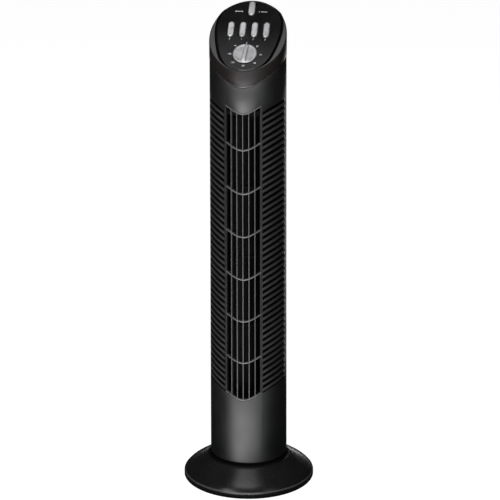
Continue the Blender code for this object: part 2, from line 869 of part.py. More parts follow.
def gear_outline(teeth, start, end, bore, clearance):
    """Teeth with straight flanks from start to end, closed along the bore for a sector."""
    pitch_r = GEAR_MODULE * teeth / 2.0
    tip = pitch_r + GEAR_MODULE * 0.85
    root = pitch_r - GEAR_MODULE * 1.2
    step = 2.0 * math.pi / teeth
    first = math.ceil(start / step)
    last = math.floor(end / step)
    points = []
    for k in range(first, last + 1):
        middle = k * step
        wide = step * 0.36 - clearance / pitch_r
        narrow = step * 0.13
        points.append(polar(root, middle - wide))
        points.append(polar(tip, middle - narrow))
        points.append(polar(tip, middle + narrow))
        points.append(polar(root, middle + wide))
    if bore:
        for k in range(17):
            points.append(polar(bore, end - (end - start) * k / 16.0))
    return points


def oscillation_drive():
    step = 2.0 * math.pi / SECTOR_TEETH
    half = math.floor(SECTOR_HALF / step) * step
    sector_shape = gear_outline(SECTOR_TEETH, -half - 0.001, half + 0.001, POST_R + 0.004, 0.0001)
    facing = Matrix.Rotation(math.radians(90.0), 4, "Z")
    sector = plate("fixed_gear_sector", [sector_shape], GEAR_BOTTOM, GEAR_TOP, NYLON, facing)
    tooth = 2.0 * math.pi / PINION_TEETH
    shape = gear_outline(PINION_TEETH, 0.0, 2.0 * math.pi - tooth / 2.0, 0.0, 0.0001)
    place = at(0.0, GEAR_CENTRES, 0.0)
    meshed = Matrix.Rotation(math.radians(-90.0) + tooth / 2.0, 4, "Z")
    teeth = plate("oscillation_pinion", [shape], 0.0400, 0.0460, NYLON, place @ meshed)
    pinion = as_mesh_part(teeth, NYLON)
    modify(pinion, "UNION", rod("pinion_shaft", 0.002, 0.0440, 0.0580, None, place, 8, CUTTERS))
    motor_profile = [
        (0.0023, 0.0503),
        (0.0150, 0.0503),
        (0.0150, 0.0660),
        (0.0, 0.0660),
        (0.0, 0.0600),
        (0.0023, 0.0600),
    ]
    gear_motor = turned("oscillation_motor", motor_profile, STEEL, place, SMALL_ROUND)
    return sector, pinion, gear_motor


# ---------------------------------------------------------------- base


def base_shell():
    """Dome, rim and post in one turned moulding, with four bosses for the bottom plate's screws."""
    profile = [
        (POST_BORE_R, POST_TOP),
        (POST_R, POST_TOP),
        (POST_R, 0.0606),
        (POST_R - 0.001, 0.0606),
        (POST_R - 0.001, 0.0580),
        (POST_R, 0.0580),
        (POST_R, BASE_TOP),
        (0.0620, BASE_TOP),
        (0.0634, BASE_TOP - 0.0006),
        (0.0643, BASE_TOP - 0.0020),
        (0.0720, 0.0336),
        (0.0850, 0.0252),
        (0.0950, 0.0180),
        (BASE_R - 0.0033, 0.0128),
        (BASE_R - 0.0014, 0.0106),
        (BASE_R - 0.0004, 0.0090),
        (BASE_R, 0.0076),
        (BASE_R, BASE_RIM_BOTTOM),
        (BASE_R - 0.0024, BASE_RIM_BOTTOM),
        (BASE_R - 0.0024, 0.0072),
        (0.0985, 0.0110),
        (0.0934, 0.0158),
        (0.0836, 0.0229),
        (0.0708, 0.0311),
        (0.0640, 0.0342),
        (0.0600, 0.0364),
        (POST_BORE_R, 0.0364),
    ]
    shell = turned("base_shell", profile, BLACK)
    low = PLATE_BOTTOM + PLATE_THICK + GAP
    for number, (x, y) in enumerate(screw_places()):
        place = at(x, y, 0.0)
        modify(shell, "UNION", rod("boss_%d" % number, 0.0048, low, 0.0236, None, place, 8, CUTTERS))
        cut(shell, rod("boss_bore_%d" % number, SCREW_HOLE_R, -0.001, 0.0150, None, place, 8, CUTTERS))
    cut(shell, cord_cutter())
    return shell


def screw_places():
    return [polar(FOOT_RING, math.radians(45.0 + 90.0 * k)) for k in range(4)]


def cord_cutter():
    turn = Matrix.Rotation(math.radians(-90.0), 4, "X")
    return rod("cord_hole", CORD_HOLE_R, 0.084, 0.110, None, at(0.0, 0.0, CORD_HOLE_Z) @ turn, 16, CUTTERS)


def base_fittings():
    made = []
    top = PLATE_BOTTOM + PLATE_THICK
    holes = [circle(SCREW_HOLE_R, 8, place) for place in screw_places()]
    edge = circle(BASE_R - 0.0024 - GAP, ROUND)
    cover = as_mesh_part(plate("base_plate", [edge] + holes, PLATE_BOTTOM, top, BLACK), BLACK)
    cut(cover, cord_cutter())
    made.append(cover)
    for k in range(4):
        x, y = polar(FOOT_RING, math.radians(90.0 * k))
        foot = [(0.0, FOOT_HEIGHT), (FOOT_R, FOOT_HEIGHT), (FOOT_R - 0.0005, 0.0), (0.0, 0.0)]
        made.append(turned("rubber_foot_%d" % (k + 1), foot, RUBBER, at(x, y, 0.0), 16))
    for k, (x, y) in enumerate(screw_places()):
        head_top = PLATE_BOTTOM - GAP
        made.append(screw("base_screw_%d" % (k + 1), at(x, y, head_top), 0.0013, 0.0125))
    made.append(ring("thrust_washer", 0.0510, 0.0565, BASE_TOP + GAP, 0.0413, NYLON))
    made.append(ring("post_clip", POST_R - 0.0007, 0.019, 0.0583, 0.0603, STEEL, None, SMALL_ROUND))
    turn = Matrix.Rotation(math.radians(-90.0), 4, "X")
    place = at(0.0, 0.0, CORD_HOLE_Z) @ turn
    made.append(ring("cord_gland", 0.0019, CORD_HOLE_R - GAP, 0.0938, BASE_R - 0.0001, RUBBER, place, 16))
    lead = [
        (0.0, 0.0927, CORD_HOLE_Z),
        (0.0, 0.0860, 0.0068),
        (0.0, 0.0700, 0.0100),
        (0.0, 0.0400, 0.0125),
        (0.0, 0.0150, 0.0140),
        (0.0, 0.0030, 0.0200),
        (0.0, 0.0, 0.0320),
        (0.0, 0.0, 0.0480),
        (0.0, 0.0, 0.0660),
    ]
    made.append(tube("base_lead", lead, 0.0015, CABLE))
    return made


def screw(name, matrix, head_height, length):
    """A pan-head screw whose head sits below local Z = 0 and whose shank points up local Z."""
    profile = [
        (0.0, length),
        (SCREW_R, length - 0.001),
        (SCREW_R, 0.0),
        (SCREW_HEAD_R, 0.0),
        (SCREW_HEAD_R, -head_height * 0.5),
        (SCREW_HEAD_R * 0.7, -head_height),
        (0.0, -head_height),
    ]
    return turned(name, profile, STEEL, matrix, 8)


# ---------------------------------------------------------------- wiring and fasteners

LOOM_PLACE = (0.0328, 0.0391)


def wiring_loom():
    x, y = LOOM_PLACE
    points = [
        (0.0, 0.0, 0.0666),
        (0.0, 0.0010, 0.0720),
        (0.0120, 0.0150, 0.0790),
        (0.0280, 0.0340, 0.0850),
        (x, y, 0.0980),
        (x, y, 0.1430),
        (x, y, 0.3000),
        (x, y, 0.4500),
        (x, y, 0.6090),
        (x, y, 0.6400),
        (0.0300, 0.0330, 0.6700),
        (0.0240, 0.0300, 0.6880),
    ]
    return tube("wiring_loom", points, 0.0025, CABLE)


def housing_screws(rear, lower, upper, table):
    """Radial screws that hold the rear shell to the two bulkheads and the turntable."""
    made = []
    levels = (
        ("lower", LOWER_BULKHEAD + BULKHEAD / 2.0, lower),
        ("upper", UPPER_BULKHEAD + BULKHEAD / 2.0, upper),
        ("turntable", 0.0540, table),
    )
    for label, z, held in levels:
        for side, phi in (("left", math.radians(215.0)), ("right", math.radians(145.0))):
            radius = column_radius(z)
            inward = radial(phi, radius + GAP, z) @ Matrix.Rotation(math.pi, 4, "X")
            hole = rod("%s_%s_hole" % (label, side), SCREW_HOLE_R, -0.004, 0.0112, None, inward, 8, CUTTERS)
            cut(rear, hole)
            cut(held, hole)
            length = 0.0058 if held is table else 0.0100
            made.append(screw("%s_screw_%s" % (label, side), inward, 0.0012, length))
    return made


def motor_screws(bulkhead, housing):
    made = []
    for number, angle in ((1, 0.0), (2, math.pi)):
        x, y = polar(MOTOR_R + 0.0045, angle)
        place = at(x, IMPELLER_Y + y, LOWER_BULKHEAD - GAP - 0.0028)
        hole = rod("motor_hole_%d" % number, SCREW_HOLE_R, -0.001, 0.0080, None, place, 8, CUTTERS)
        cut(bulkhead, hole)
        cut(housing, hole)
        made.append(screw("motor_screw_%d" % number, place, 0.0012, 0.0072))
    return made


# ---------------------------------------------------------------- assembly


def build():
    base_shell()
    base_fittings()

    front = front_housing()
    grille = front_grille()
    rear = rear_housing()
    cap = head_cap()
    panel = control_panel()
    shaft, timer_body = timer()
    knob = timer_knob()
    speed_switch, swing_switch = switches()
    lower, upper, bearing = bulkheads()
    scroll, tongue, baffles = duct()
    cage, hub, end, rotor = impeller()
    housing, stator, capacitor = motor()
    table, bush = turntable()
    sector, pinion, gear_motor = oscillation_drive()
    loom = wiring_loom()
    screws = housing_screws(rear, lower, upper, table) + motor_screws(lower, housing)

    column = pivot("column_pivot", at(0.0, 0.0, COLUMN_BOTTOM))
    carry(column, front, grille, rear, cap, panel, timer_body, speed_switch, swing_switch)
    carry(column, lower, upper, bearing, scroll, tongue, housing, stator, capacitor, *baffles)
    carry(column, table, bush, gear_motor, loom, *screws)
    spindle = pivot("impeller_pivot", at(0.0, IMPELLER_Y, IMPELLER_BOTTOM), column)
    carry(spindle, cage, hub, end, rotor)
    dial = pivot("knob_pivot", on_face(0.0, KNOB_S), column)
    carry(dial, knob, shaft)
    drive = pivot("pinion_pivot", at(0.0, GEAR_CENTRES, GEAR_BOTTOM), column)
    carry(drive, pinion)
    for name, x, s, length, width in key_places():
        carry(column, key(name, x, s, length, width))


build()
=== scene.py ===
"""Looks of the tower fan: detailed shells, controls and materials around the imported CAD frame.

Metres, +Z up, front towards -Y. Angles called phi run round the column from the front,
positive towards +X. On the oblique head face, x runs across, s up the slope and h out of it.
"""

import json
import math

import bmesh
import bpy
from mathutils import Matrix, Vector


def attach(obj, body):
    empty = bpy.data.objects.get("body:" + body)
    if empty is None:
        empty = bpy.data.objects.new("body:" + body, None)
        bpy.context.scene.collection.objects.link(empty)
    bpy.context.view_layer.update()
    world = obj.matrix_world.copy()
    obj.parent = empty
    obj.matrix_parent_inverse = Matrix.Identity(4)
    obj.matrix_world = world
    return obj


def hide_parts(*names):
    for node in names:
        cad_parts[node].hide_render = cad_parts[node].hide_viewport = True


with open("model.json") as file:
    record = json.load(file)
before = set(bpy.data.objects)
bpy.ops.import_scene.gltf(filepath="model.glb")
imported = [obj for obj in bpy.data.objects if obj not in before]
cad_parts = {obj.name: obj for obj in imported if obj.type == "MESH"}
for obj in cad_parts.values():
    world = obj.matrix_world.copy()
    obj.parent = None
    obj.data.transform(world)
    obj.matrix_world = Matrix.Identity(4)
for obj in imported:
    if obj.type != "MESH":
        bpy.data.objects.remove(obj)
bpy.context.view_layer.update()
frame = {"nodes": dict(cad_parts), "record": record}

# ---------------------------------------------------------------- dimensions

HEIGHT = 0.760
GAP = 0.0003
WALL = 0.0024
SHELL_GAP = 0.0008
COLUMN_R_FOOT = 0.0609
COLUMN_R_TOP = 0.0580
COLUMN_BOTTOM = 0.0426
HEAD_R = 0.0587
HEAD_SLOPE = math.radians(36.0)
SEAM_FRONT = 0.650
SEAM_RISE = 0.060
SEAM_SPREAD = 1.5
GRILLE_TOP = 0.6115
GRILLE_BOTTOM = 0.148
GRILLE_HALF = math.radians(28.0)
BAR_PITCH = math.radians(9.07)
BAR_COUNT = 5
ARC_RISE = 0.0312
ARC_SPREAD = 0.417
LOUVRE_COUNT = 46
LOUVRE_PITCH = 0.00977
LOUVRE_TOP = 0.602
LOUVRE_HEIGHT = 0.0045
LOUVRES_PER_CROSS = 7
FIRST_CROSS = 5
CROSS_COUNT = 6
LOUVRE_END = math.radians(80.0)
RAIL = math.radians(1.5)
INTAKE_BOTTOM = 0.172
INTAKE_TOP = 0.588
INTAKE_FROM = math.radians(110.0)
INTAKE_SLOTS = 12
INTAKE_ROWS = 5
INTAKE_BRIDGE = 0.006
SLOT_MARGIN = 0.22
IMPELLER_Y = 0.006
IMPELLER_R = 0.036
IMPELLER_BOTTOM = 0.1533
IMPELLER_TOP = 0.598
BLADE_DEPTH = 0.009
BLADE_SWEEP = 0.34
BAFFLE_ANGLE = math.radians(98.0)
BAFFLE_SEAL_R = 0.0400
GROOVE = 0.0036
GROOVE_DEPTH = 0.0036
GROOVE_AT_ENDS = 0.12
PANEL_RECESS = 0.0012
PANEL_TOP = 0.0016
KEY_PITCH = 0.018
KEY_S = 0.0828
KEY_LENGTH = 0.0280
KEY_WIDTH = 0.0098
KEY_TOP = 0.0044
KEY_BOTTOM = -0.0036
KEY_DROP = 0.0017
SWING_KEY_S = 0.1262
SWING_KEY_LENGTH = 0.0264
SWING_KEY_WIDTH = 0.0102
SLOT_CLEARANCE = 0.0004
KNOB_S = 0.0333
KNOB_R = 0.018
KNOB_BOTTOM = 0.0020
KNOB_TOP = 0.0052
KNOB_GRIP = 0.0030
KNOB_DISH = 0.0016
TIMER_SHAFT_R = 0.003
BASE_R = 0.1038
BASE_TOP = 0.039
POST_R = 0.013
POST_BORE_R = 0.010
POST_TOP = 0.062
NOTCH_HALF = 0.0042
NOTCH_TOP = 0.0072


def column_radius(z):
    return COLUMN_R_FOOT + (COLUMN_R_TOP - COLUMN_R_FOOT) * z / HEIGHT


def rise(phi):
    return ARC_RISE * phi * phi / (phi * phi + ARC_SPREAD)


def seam_height(phi):
    phi = (phi + math.pi) % (2.0 * math.pi) - math.pi
    return SEAM_FRONT + SEAM_RISE * phi * phi / (phi * phi + SEAM_SPREAD)


FACE_FRONT = Vector((0.0, -HEAD_R, HEIGHT - 2.0 * HEAD_R * math.tan(HEAD_SLOPE)))
FACE_UP = Vector((0.0, math.cos(HEAD_SLOPE), math.sin(HEAD_SLOPE)))
FACE_OUT = Vector((0.0, -math.sin(HEAD_SLOPE), math.cos(HEAD_SLOPE)))
ACROSS = Vector((1.0, 0.0, 0.0))


def on_face(x, s, h=0.0):
    return FACE_FRONT + ACROSS * x + FACE_UP * s + FACE_OUT * h


def face_matrix(x, s, h=0.0):
    axes = Matrix((ACROSS, FACE_UP, FACE_OUT)).transposed()
    return Matrix.Translation(on_face(x, s, h)) @ axes.to_4x4()


def around(phi, radius, z, centre_y=0.0):
    return Vector((radius * math.sin(phi), centre_y - radius * math.cos(phi), z))


def spread(start, end, count):
    return [start + (end - start) * k / count for k in range(count + 1)]


# ---------------------------------------------------------------- materials


def node(tree, kind, **inputs):
    made = tree.nodes.new(kind)
    for key, value in inputs.items():
        made.inputs[key.replace("_", " ")].default_value = value
    return made


def maths(tree, operation, *values):
    """A math node whose inputs are numbers or the outputs of other nodes."""
    made = tree.nodes.new("ShaderNodeMath")
    made.operation = operation
    for socket, value in zip(made.inputs, values):
        if isinstance(value, bpy.types.NodeSocket):
            tree.links.new(value, socket)
        else:
            socket.default_value = value
    return made.outputs[0]


GLOSS_SPREAD = 0.05


def moulded(name, dark, light, rough, grain=0.0006, depth=0.00003, patch=22.0, metallic=0.0, level=0.5):
    """Moulded or painted finish: a fine grain in relief, broad patches of tone, and uneven gloss."""
    mat = bpy.data.materials.new(name)
    mat.use_nodes = True
    tree = mat.node_tree
    shader = tree.nodes["Principled BSDF"]
    shader.inputs["Metallic"].default_value = metallic
    shader.inputs["Specular IOR Level"].default_value = level
    place = tree.nodes.new("ShaderNodeTexCoord")
    fine = node(tree, "ShaderNodeTexNoise", Scale=1.0 / grain, Detail=4.0, Roughness=0.6)
    broad = node(tree, "ShaderNodeTexNoise", Scale=patch, Detail=5.0, Roughness=0.55)
    tree.links.new(place.outputs["Object"], fine.inputs["Vector"])
    tree.links.new(place.outputs["Object"], broad.inputs["Vector"])
    half = maths(tree, "MULTIPLY", broad.outputs["Fac"], 0.5)
    blend = maths(tree, "MULTIPLY_ADD", fine.outputs["Fac"], 0.5, half)
    tone = tree.nodes.new("ShaderNodeValToRGB")
    for element, place_in_ramp, colour in zip(tone.color_ramp.elements, (0.36, 0.64), (dark, light)):
        element.position = place_in_ramp
        element.color = (*colour, 1.0)
    tree.links.new(blend, tone.inputs["Fac"])
    tree.links.new(tone.outputs["Color"], shader.inputs["Base Color"])
    gloss = node(tree, "ShaderNodeMapRange", From_Min=0.3, From_Max=0.7)
    gloss.inputs["To Min"].default_value = rough - GLOSS_SPREAD
    gloss.inputs["To Max"].default_value = rough + GLOSS_SPREAD
    tree.links.new(broad.outputs["Fac"], gloss.inputs["Value"])
    tree.links.new(gloss.outputs["Result"], shader.inputs["Roughness"])
    bump = node(tree, "ShaderNodeBump", Strength=0.6, Distance=depth)
    tree.links.new(fine.outputs["Fac"], bump.inputs["Height"])
    tree.links.new(bump.outputs["Normal"], shader.inputs["Normal"])
    return mat


BLACK = moulded("satin_black_abs", (0.0020, 0.0022, 0.0024), (0.0042, 0.0044, 0.0048), 0.44, grain=0.00055)
BASE_BLACK = moulded(
    "base_black_abs", (0.0070, 0.0071, 0.0073), (0.0110, 0.0111, 0.0114), 0.25, depth=0.00002
)
HEAD_BLACK = moulded(
    "head_black_abs", (0.0052, 0.0038, 0.0038), (0.0088, 0.0066, 0.0065), 0.44, depth=0.00002, level=0.25
)
# Painted highlight: a lighter black on thin rounded edges, the head's lower edge and the base's rim, to show
# a bright line there.
EDGE_HIGHLIGHT = moulded(
    "edge_painted_highlight", (0.050, 0.048, 0.048), (0.075, 0.072, 0.072), 0.34, depth=0.00002, level=0.6
)
# Slats in a black lighter than the column's: painted light on their tops.
LOUVRE_LIT = moulded("louvre_painted_light_abs", (0.013, 0.013, 0.014), (0.021, 0.021, 0.022), 0.42)
# The head's oblique face: a real coarse grain, in a black lighter than the head's as painted light reflected
# by the face.
FACE_GRAIN_AND_LIGHT = moulded(
    "grained_black_painted_light", (0.030, 0.031, 0.033), (0.052, 0.053, 0.056), 0.52, grain=0.0008, depth=0.00008
)
# Grille bars in a lighter black as painted light, and cross ribs lighter still as a painted highlight along
# them.
GRILLE_LIT = moulded("grille_painted_light_abs", (0.020, 0.020, 0.021), (0.030, 0.030, 0.031), 0.40)
RIB_HIGHLIGHT = moulded("rib_painted_highlight_abs", (0.034, 0.034, 0.036), (0.052, 0.052, 0.054), 0.38)
PANEL = moulded(
    "panel_black", (0.0028, 0.0028, 0.0031), (0.0050, 0.0050, 0.0054), 0.24, grain=0.0005, depth=0.00002
)
SILVER = moulded(
    "silver_grey_paint", (0.23, 0.23, 0.24), (0.46, 0.46, 0.47), 0.38,
    grain=0.0010, depth=0.00008, patch=80.0, metallic=0.20,
)
# Silver paint of the keys, made lighter than the knob's: the keys' own paint, with painted light in its
# extra lightness.
KEY_SILVER_AND_LIGHT = moulded(
    "key_silver_paint_and_painted_light", (0.36, 0.36, 0.37), (0.64, 0.64, 0.65), 0.30,
    grain=0.0009, depth=0.00006, patch=80.0, metallic=0.55,
)
# The wheel's black plastic, made darker and duller than the column's as painted shade inside the column.
IMPELLER_PAINTED_SHADE = moulded(
    "impeller_plastic", (0.0005, 0.0005, 0.0006), (0.0014, 0.0014, 0.0016), 0.7, depth=0.00004, level=0.04
)
# Painted shade: a black darker than any part's plastic, on parts seen only through gaps and on the faces of
# grooves.
PAINTED_SHADE_BLACK = moulded(
    "painted_shade_black", (0.0010, 0.0010, 0.0011), (0.0024, 0.0024, 0.0026), 0.8,
    grain=0.0007, depth=0.00004, level=0.08,
)
NYLON = moulded("white_nylon", (0.60, 0.59, 0.53), (0.74, 0.73, 0.68), 0.5)
STEEL = moulded(
    "zinc_steel", (0.40, 0.41, 0.43), (0.60, 0.61, 0.62), 0.36,
    grain=0.0004, depth=0.00002, patch=90.0, metallic=1.0,
)
LAMINATION = moulded(
    "electrical_steel", (0.16, 0.16, 0.17), (0.28, 0.28, 0.29), 0.5,
    grain=0.0005, depth=0.00005, patch=90.0, metallic=1.0,
)
RUBBER = moulded(
    "black_rubber", (0.012, 0.012, 0.012), (0.024, 0.024, 0.024), 0.82, grain=0.0004, depth=0.00008
)
FOAM = moulded(
    "seal_foam", (0.0020, 0.0020, 0.0021), (0.0060, 0.0060, 0.0062), 0.9,
    grain=0.0012, depth=0.0003, level=0.1,
)
CABLE = moulded(
    "cable_sleeve", (0.012, 0.012, 0.013), (0.022, 0.022, 0.024), 0.55, grain=0.0009, depth=0.00004
)
PHENOLIC = moulded("phenolic", (0.20, 0.13, 0.07), (0.34, 0.24, 0.14), 0.6, grain=0.0008, depth=0.00005)
PRINT = moulded("printed_grey", (0.52, 0.52, 0.53), (0.66, 0.66, 0.67), 0.5, grain=0.0005, depth=0.00001)

SLOT_MATERIALS = {
    "black_abs": BLACK,
    "panel_black": PANEL,
    "silver_grey": SILVER,
    "impeller_plastic": IMPELLER_PAINTED_SHADE,
    "nylon": NYLON,
    "zinc_steel": STEEL,
    "electrical_steel": LAMINATION,
    "rubber": RUBBER,
    "cable": CABLE,
    "phenolic": PHENOLIC,
}

# CAD parts seen only through gaps, dressed in painted shade.
IN_SHADE = (
    "duct_scroll",
    "duct_tongue",
    "baffle_left",
    "baffle_right",
    "lower_bulkhead",
    "upper_bulkhead",
    "thrust_washer",
    "turntable",
    "turntable_bush",
)


def dress_cad_nodes():
    """A material for every CAD node: its slot's, or painted shade, a black darker than any plastic, where
    only a gap shows it.
    """
    slots = {part["node"]: part["material_slot"] for part in frame["record"]["subparts"]}
    for name, obj in frame["nodes"].items():
        mat = PAINTED_SHADE_BLACK if name in IN_SHADE else SLOT_MATERIALS[slots[name]]
        obj.data.materials.clear()
        obj.data.materials.append(mat)


# ---------------------------------------------------------------- making pieces


def piece(name, bm, mats, body, replaced=(), angle=35.0, recalc=True):
    """Makes the mesh an object of this body and slot, with edges sharper than the angle left sharp."""
    if recalc:
        bmesh.ops.recalc_face_normals(bm, faces=bm.faces)
    mesh = bpy.data.meshes.new(name)
    bm.to_mesh(mesh)
    bm.free()
    mesh.shade_smooth()
    mesh.set_sharp_from_angle(angle=math.radians(angle))
    for mat in mats:
        mesh.materials.append(mat)
    obj = bpy.data.objects.new(name, mesh)
    bpy.context.scene.collection.objects.link(obj)
    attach(obj, body)
    if replaced:
        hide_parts(*replaced)
    return obj


def make_wall(obj, edge):
    """Gives a sheet the column's wall, inwards from its faces, with edges rounded by this much."""
    shell = obj.modifiers.new("Wall", "SOLIDIFY")
    shell.thickness = WALL
    shell.offset = -1.0
    shell.use_even_offset = True
    soft = obj.modifiers.new("Edges", "BEVEL")
    soft.width = edge
    soft.segments = 2
    soft.limit_method = "ANGLE"
    soft.angle_limit = math.radians(40.0)
    soft.harden_normals = False


def loops(bm, rings, caps=True, material=0):
    """Skins closed rings of points with equal counts, and caps both ends."""
    layers = [[bm.verts.new(p) for p in ring] for ring in rings]
    count = len(layers[0])
    faces = []
    for low, high in zip(layers, layers[1:]):
        for i in range(count):
            j = (i + 1) % count
            faces.append(bm.faces.new((low[i], low[j], high[j], high[i])))
    if caps:
        faces.append(bm.faces.new(layers[0][::-1]))
        faces.append(bm.faces.new(layers[-1]))
    for face in faces:
        face.material_index = material
    return layers


def turn(bm, profile, steps, centre_y=0.0):
    """A closed (radius, height) profile turned about an upright axis."""
    rings = []
    for k in range(steps):
        phi = 2.0 * math.pi * k / steps
        rings.append([bm.verts.new(around(phi, r, z, centre_y)) for r, z in profile])
    for k in range(steps):
        near, far = rings[k], rings[(k + 1) % steps]
        for i in range(len(profile)):
            j = (i + 1) % len(profile)
            bm.faces.new((near[i], near[j], far[j], far[i]))


def shell_grid(bm, angles, rows, is_open):
    """A sheet on the column. A row gives a height and an inset at an angle; open cells have no face."""
    grid = []
    for row in rows:
        line = []
        for phi in angles:
            z, inset = row(phi)
            line.append(bm.verts.new(around(phi, column_radius(z) - inset, z)))
        grid.append(line)
    for k in range(len(rows) - 1):
        for i in range(len(angles) - 1):
            if not is_open(angles[i], angles[i + 1], k):
                bm.faces.new((grid[k][i], grid[k][i + 1], grid[k + 1][i + 1], grid[k + 1][i]))
    bmesh.ops.delete(bm, geom=[v for v in bm.verts if not v.link_faces], context="VERTS")


# ---------------------------------------------------------------- column


def rising(z):
    """A row that is this high at the front and arches up towards the sides."""
    return lambda phi: (z + rise(phi), 0.0)


def level(z, inset=0.0):
    """A row at one height all round."""
    return lambda phi: (z, inset)


FOOT = [level(COLUMN_BOTTOM, 0.0011), level(COLUMN_BOTTOM + 0.0014)]


def shoulder(drop, inset):
    """A row this far below the top edge of the column's shells, and this far in."""
    return lambda phi: (seam_height(phi) - GAP / 2.0 - drop, inset)


SHOULDER = [shoulder(0.0007, 0.0), shoulder(0.0005, 0.0001), shoulder(0.0002, 0.0003), shoulder(0.0, 0.0007)]


def front_shell():
    """The front half of the column, with openings for the grille and the louvres."""
    edge = math.pi / 2.0 - SHELL_GAP / 2.0 / COLUMN_R_TOP
    inner = GRILLE_HALF + GAP / 2.0 / COLUMN_R_TOP
    side = [inner, inner + RAIL] + spread(inner + RAIL, LOUVRE_END, 22)[1:] + spread(LOUVRE_END, edge, 4)[1:]
    angles = [-phi for phi in reversed(side)] + spread(-inner, inner, 28)[1:-1] + side
    first_slot = LOUVRE_TOP - LOUVRE_HEIGHT / 2.0
    rows = FOOT + [rising(GRILLE_BOTTOM), rising(first_slot), rising(GRILLE_TOP)] + SHOULDER
    louvre_row = len(FOOT)
    top_row = louvre_row + 1
    windows = ((-inner, inner), (inner + RAIL, LOUVRE_END), (-LOUVRE_END, -inner - RAIL))

    def is_open(start, end, k):
        middle = (start + end) / 2.0
        if k == top_row:
            return abs(middle) < inner
        return k == louvre_row and any(low < middle < high for low, high in windows)

    bm = bmesh.new()
    shell_grid(bm, angles, rows, is_open)
    obj = piece("front_shell", bm, [BLACK], "column", ["front_housing"], recalc=False)
    make_wall(obj, 0.0005)


SIDES = (("left", -1.0), ("right", 1.0))


def louvre_slats():
    """Slats with a flat outer face and rounded edges, leaning down towards the inside."""
    half = LOUVRE_HEIGHT / 2.0
    soft = 0.0011
    corner = soft * 0.35
    depth = 0.0062
    lean = 0.0019
    thin = half * 0.45
    outer = [(-soft, -half), (-corner, corner - half), (-0.00015, -half * 0.55), (-0.00012, 0.0)]
    outer += [(-0.00015, half * 0.55), (-corner, half - corner), (-soft, half)]
    section = outer + [(-depth, thin - lean), (-depth - 0.0004, -lean), (-depth, -thin - lean)]
    start = GRILLE_HALF + RAIL - math.radians(0.3)
    for label, sign in SIDES:
        bm = bmesh.new()
        for k in range(1, LOUVRE_COUNT + 1):
            middle = LOUVRE_TOP - k * LOUVRE_PITCH
            rings = []
            for phi in spread(start, LOUVRE_END + math.radians(0.4), 20):
                z = middle + rise(phi)
                radius = column_radius(z)
                rings.append([around(sign * phi, radius + dr, z + dz) for dr, dz in section])
            loops(bm, rings)
        piece("louvres_%s" % label, bm, [LOUVRE_LIT], "column", angle=60.0)


def grille():
    """Outlet grille: five upright blades (material 0, lighter than the column's black as painted light), a
    frame (1) and arched cross ribs (2, lighter still as a painted highlight).
    """
    bm = bmesh.new()
    edge = GRILLE_HALF - GAP / 2.0 / COLUMN_R_TOP
    bars = [BAR_PITCH * (k - (BAR_COUNT - 1) / 2.0) for k in range(BAR_COUNT)]
    frame_middle = edge - 0.0008 / COLUMN_R_TOP
    # Section of a bar: shares of its width, and depths behind the column's surface.
    nose = [(-0.5, -0.0008), (-0.36, -0.0002), (0.0, 0.0), (0.36, -0.0002), (0.5, -0.0008)]
    nose += [(0.42, -0.0050), (-0.42, -0.0050)]
    uprights = [(phi, 0.0015, 0) for phi in bars] + [(-frame_middle, 0.0014, 1), (frame_middle, 0.0014, 1)]
    for middle, width, material in uprights:
        rings = []
        for height in spread(GRILLE_BOTTOM + GAP, GRILLE_TOP - GAP, 12):
            z = height + rise(middle)
            radius = column_radius(z)
            rings.append([around(middle + across * width / radius, radius + dr, z) for across, dr in nose])
        loops(bm, rings, material=material)
    crossed = [FIRST_CROSS + k * LOUVRES_PER_CROSS for k in range(CROSS_COUNT)]
    ribs = [(LOUVRE_TOP - number * LOUVRE_PITCH, 0.0024) for number in crossed]
    ribs += [(GRILLE_BOTTOM + 0.0016, 0.0026), (GRILLE_TOP - 0.0016, 0.0026)]
    for height, thickness in ribs:
        rings = []
        for phi in spread(-edge, edge, 32):
            z = height + rise(phi)
            radius = column_radius(z)
            rings.append([around(phi, radius + dr, z + up * thickness) for up, dr in nose])
        loops(bm, rings, material=2)
    piece("outlet_grille", bm, [GRILLE_LIT, BLACK, RIB_HIGHLIGHT], "column", ["front_grille"], angle=50.0)


def rear_shell():
    """The rear half of the column, with the air intake: upright slots in rows."""
    edge = math.pi / 2.0 + SHELL_GAP / 2.0 / COLUMN_R_TOP
    pitch = 2.0 * (math.pi - INTAKE_FROM) / INTAKE_SLOTS
    half = spread(edge, INTAKE_FROM, 6)
    angles = list(half)
    slots = []
    for k in range(INTAKE_SLOTS):
        start = INTAKE_FROM + k * pitch
        slot = spread(start + pitch * SLOT_MARGIN, start + pitch * (1.0 - SLOT_MARGIN), 4)
        slots.append((slot[0], slot[-1]))
        angles += slot
    angles += [2.0 * math.pi - phi for phi in reversed(half)]
    span = (INTAKE_TOP - INTAKE_BOTTOM + INTAKE_BRIDGE) / INTAKE_ROWS
    rows = list(FOOT)
    slotted = set()
    for k in range(INTAKE_ROWS):
        start = INTAKE_BOTTOM + k * span
        slotted.add(len(rows))
        rows += [level(start), level(start + span - INTAKE_BRIDGE)]
    rows += SHOULDER

    def is_open(start, end, k):
        middle = (start + end) / 2.0
        return k in slotted and any(low < middle < high for low, high in slots)

    bm = bmesh.new()
    shell_grid(bm, angles, rows, is_open)
    obj = piece("rear_shell", bm, [BLACK], "column", ["rear_housing"], recalc=False)
    make_wall(obj, 0.0006)


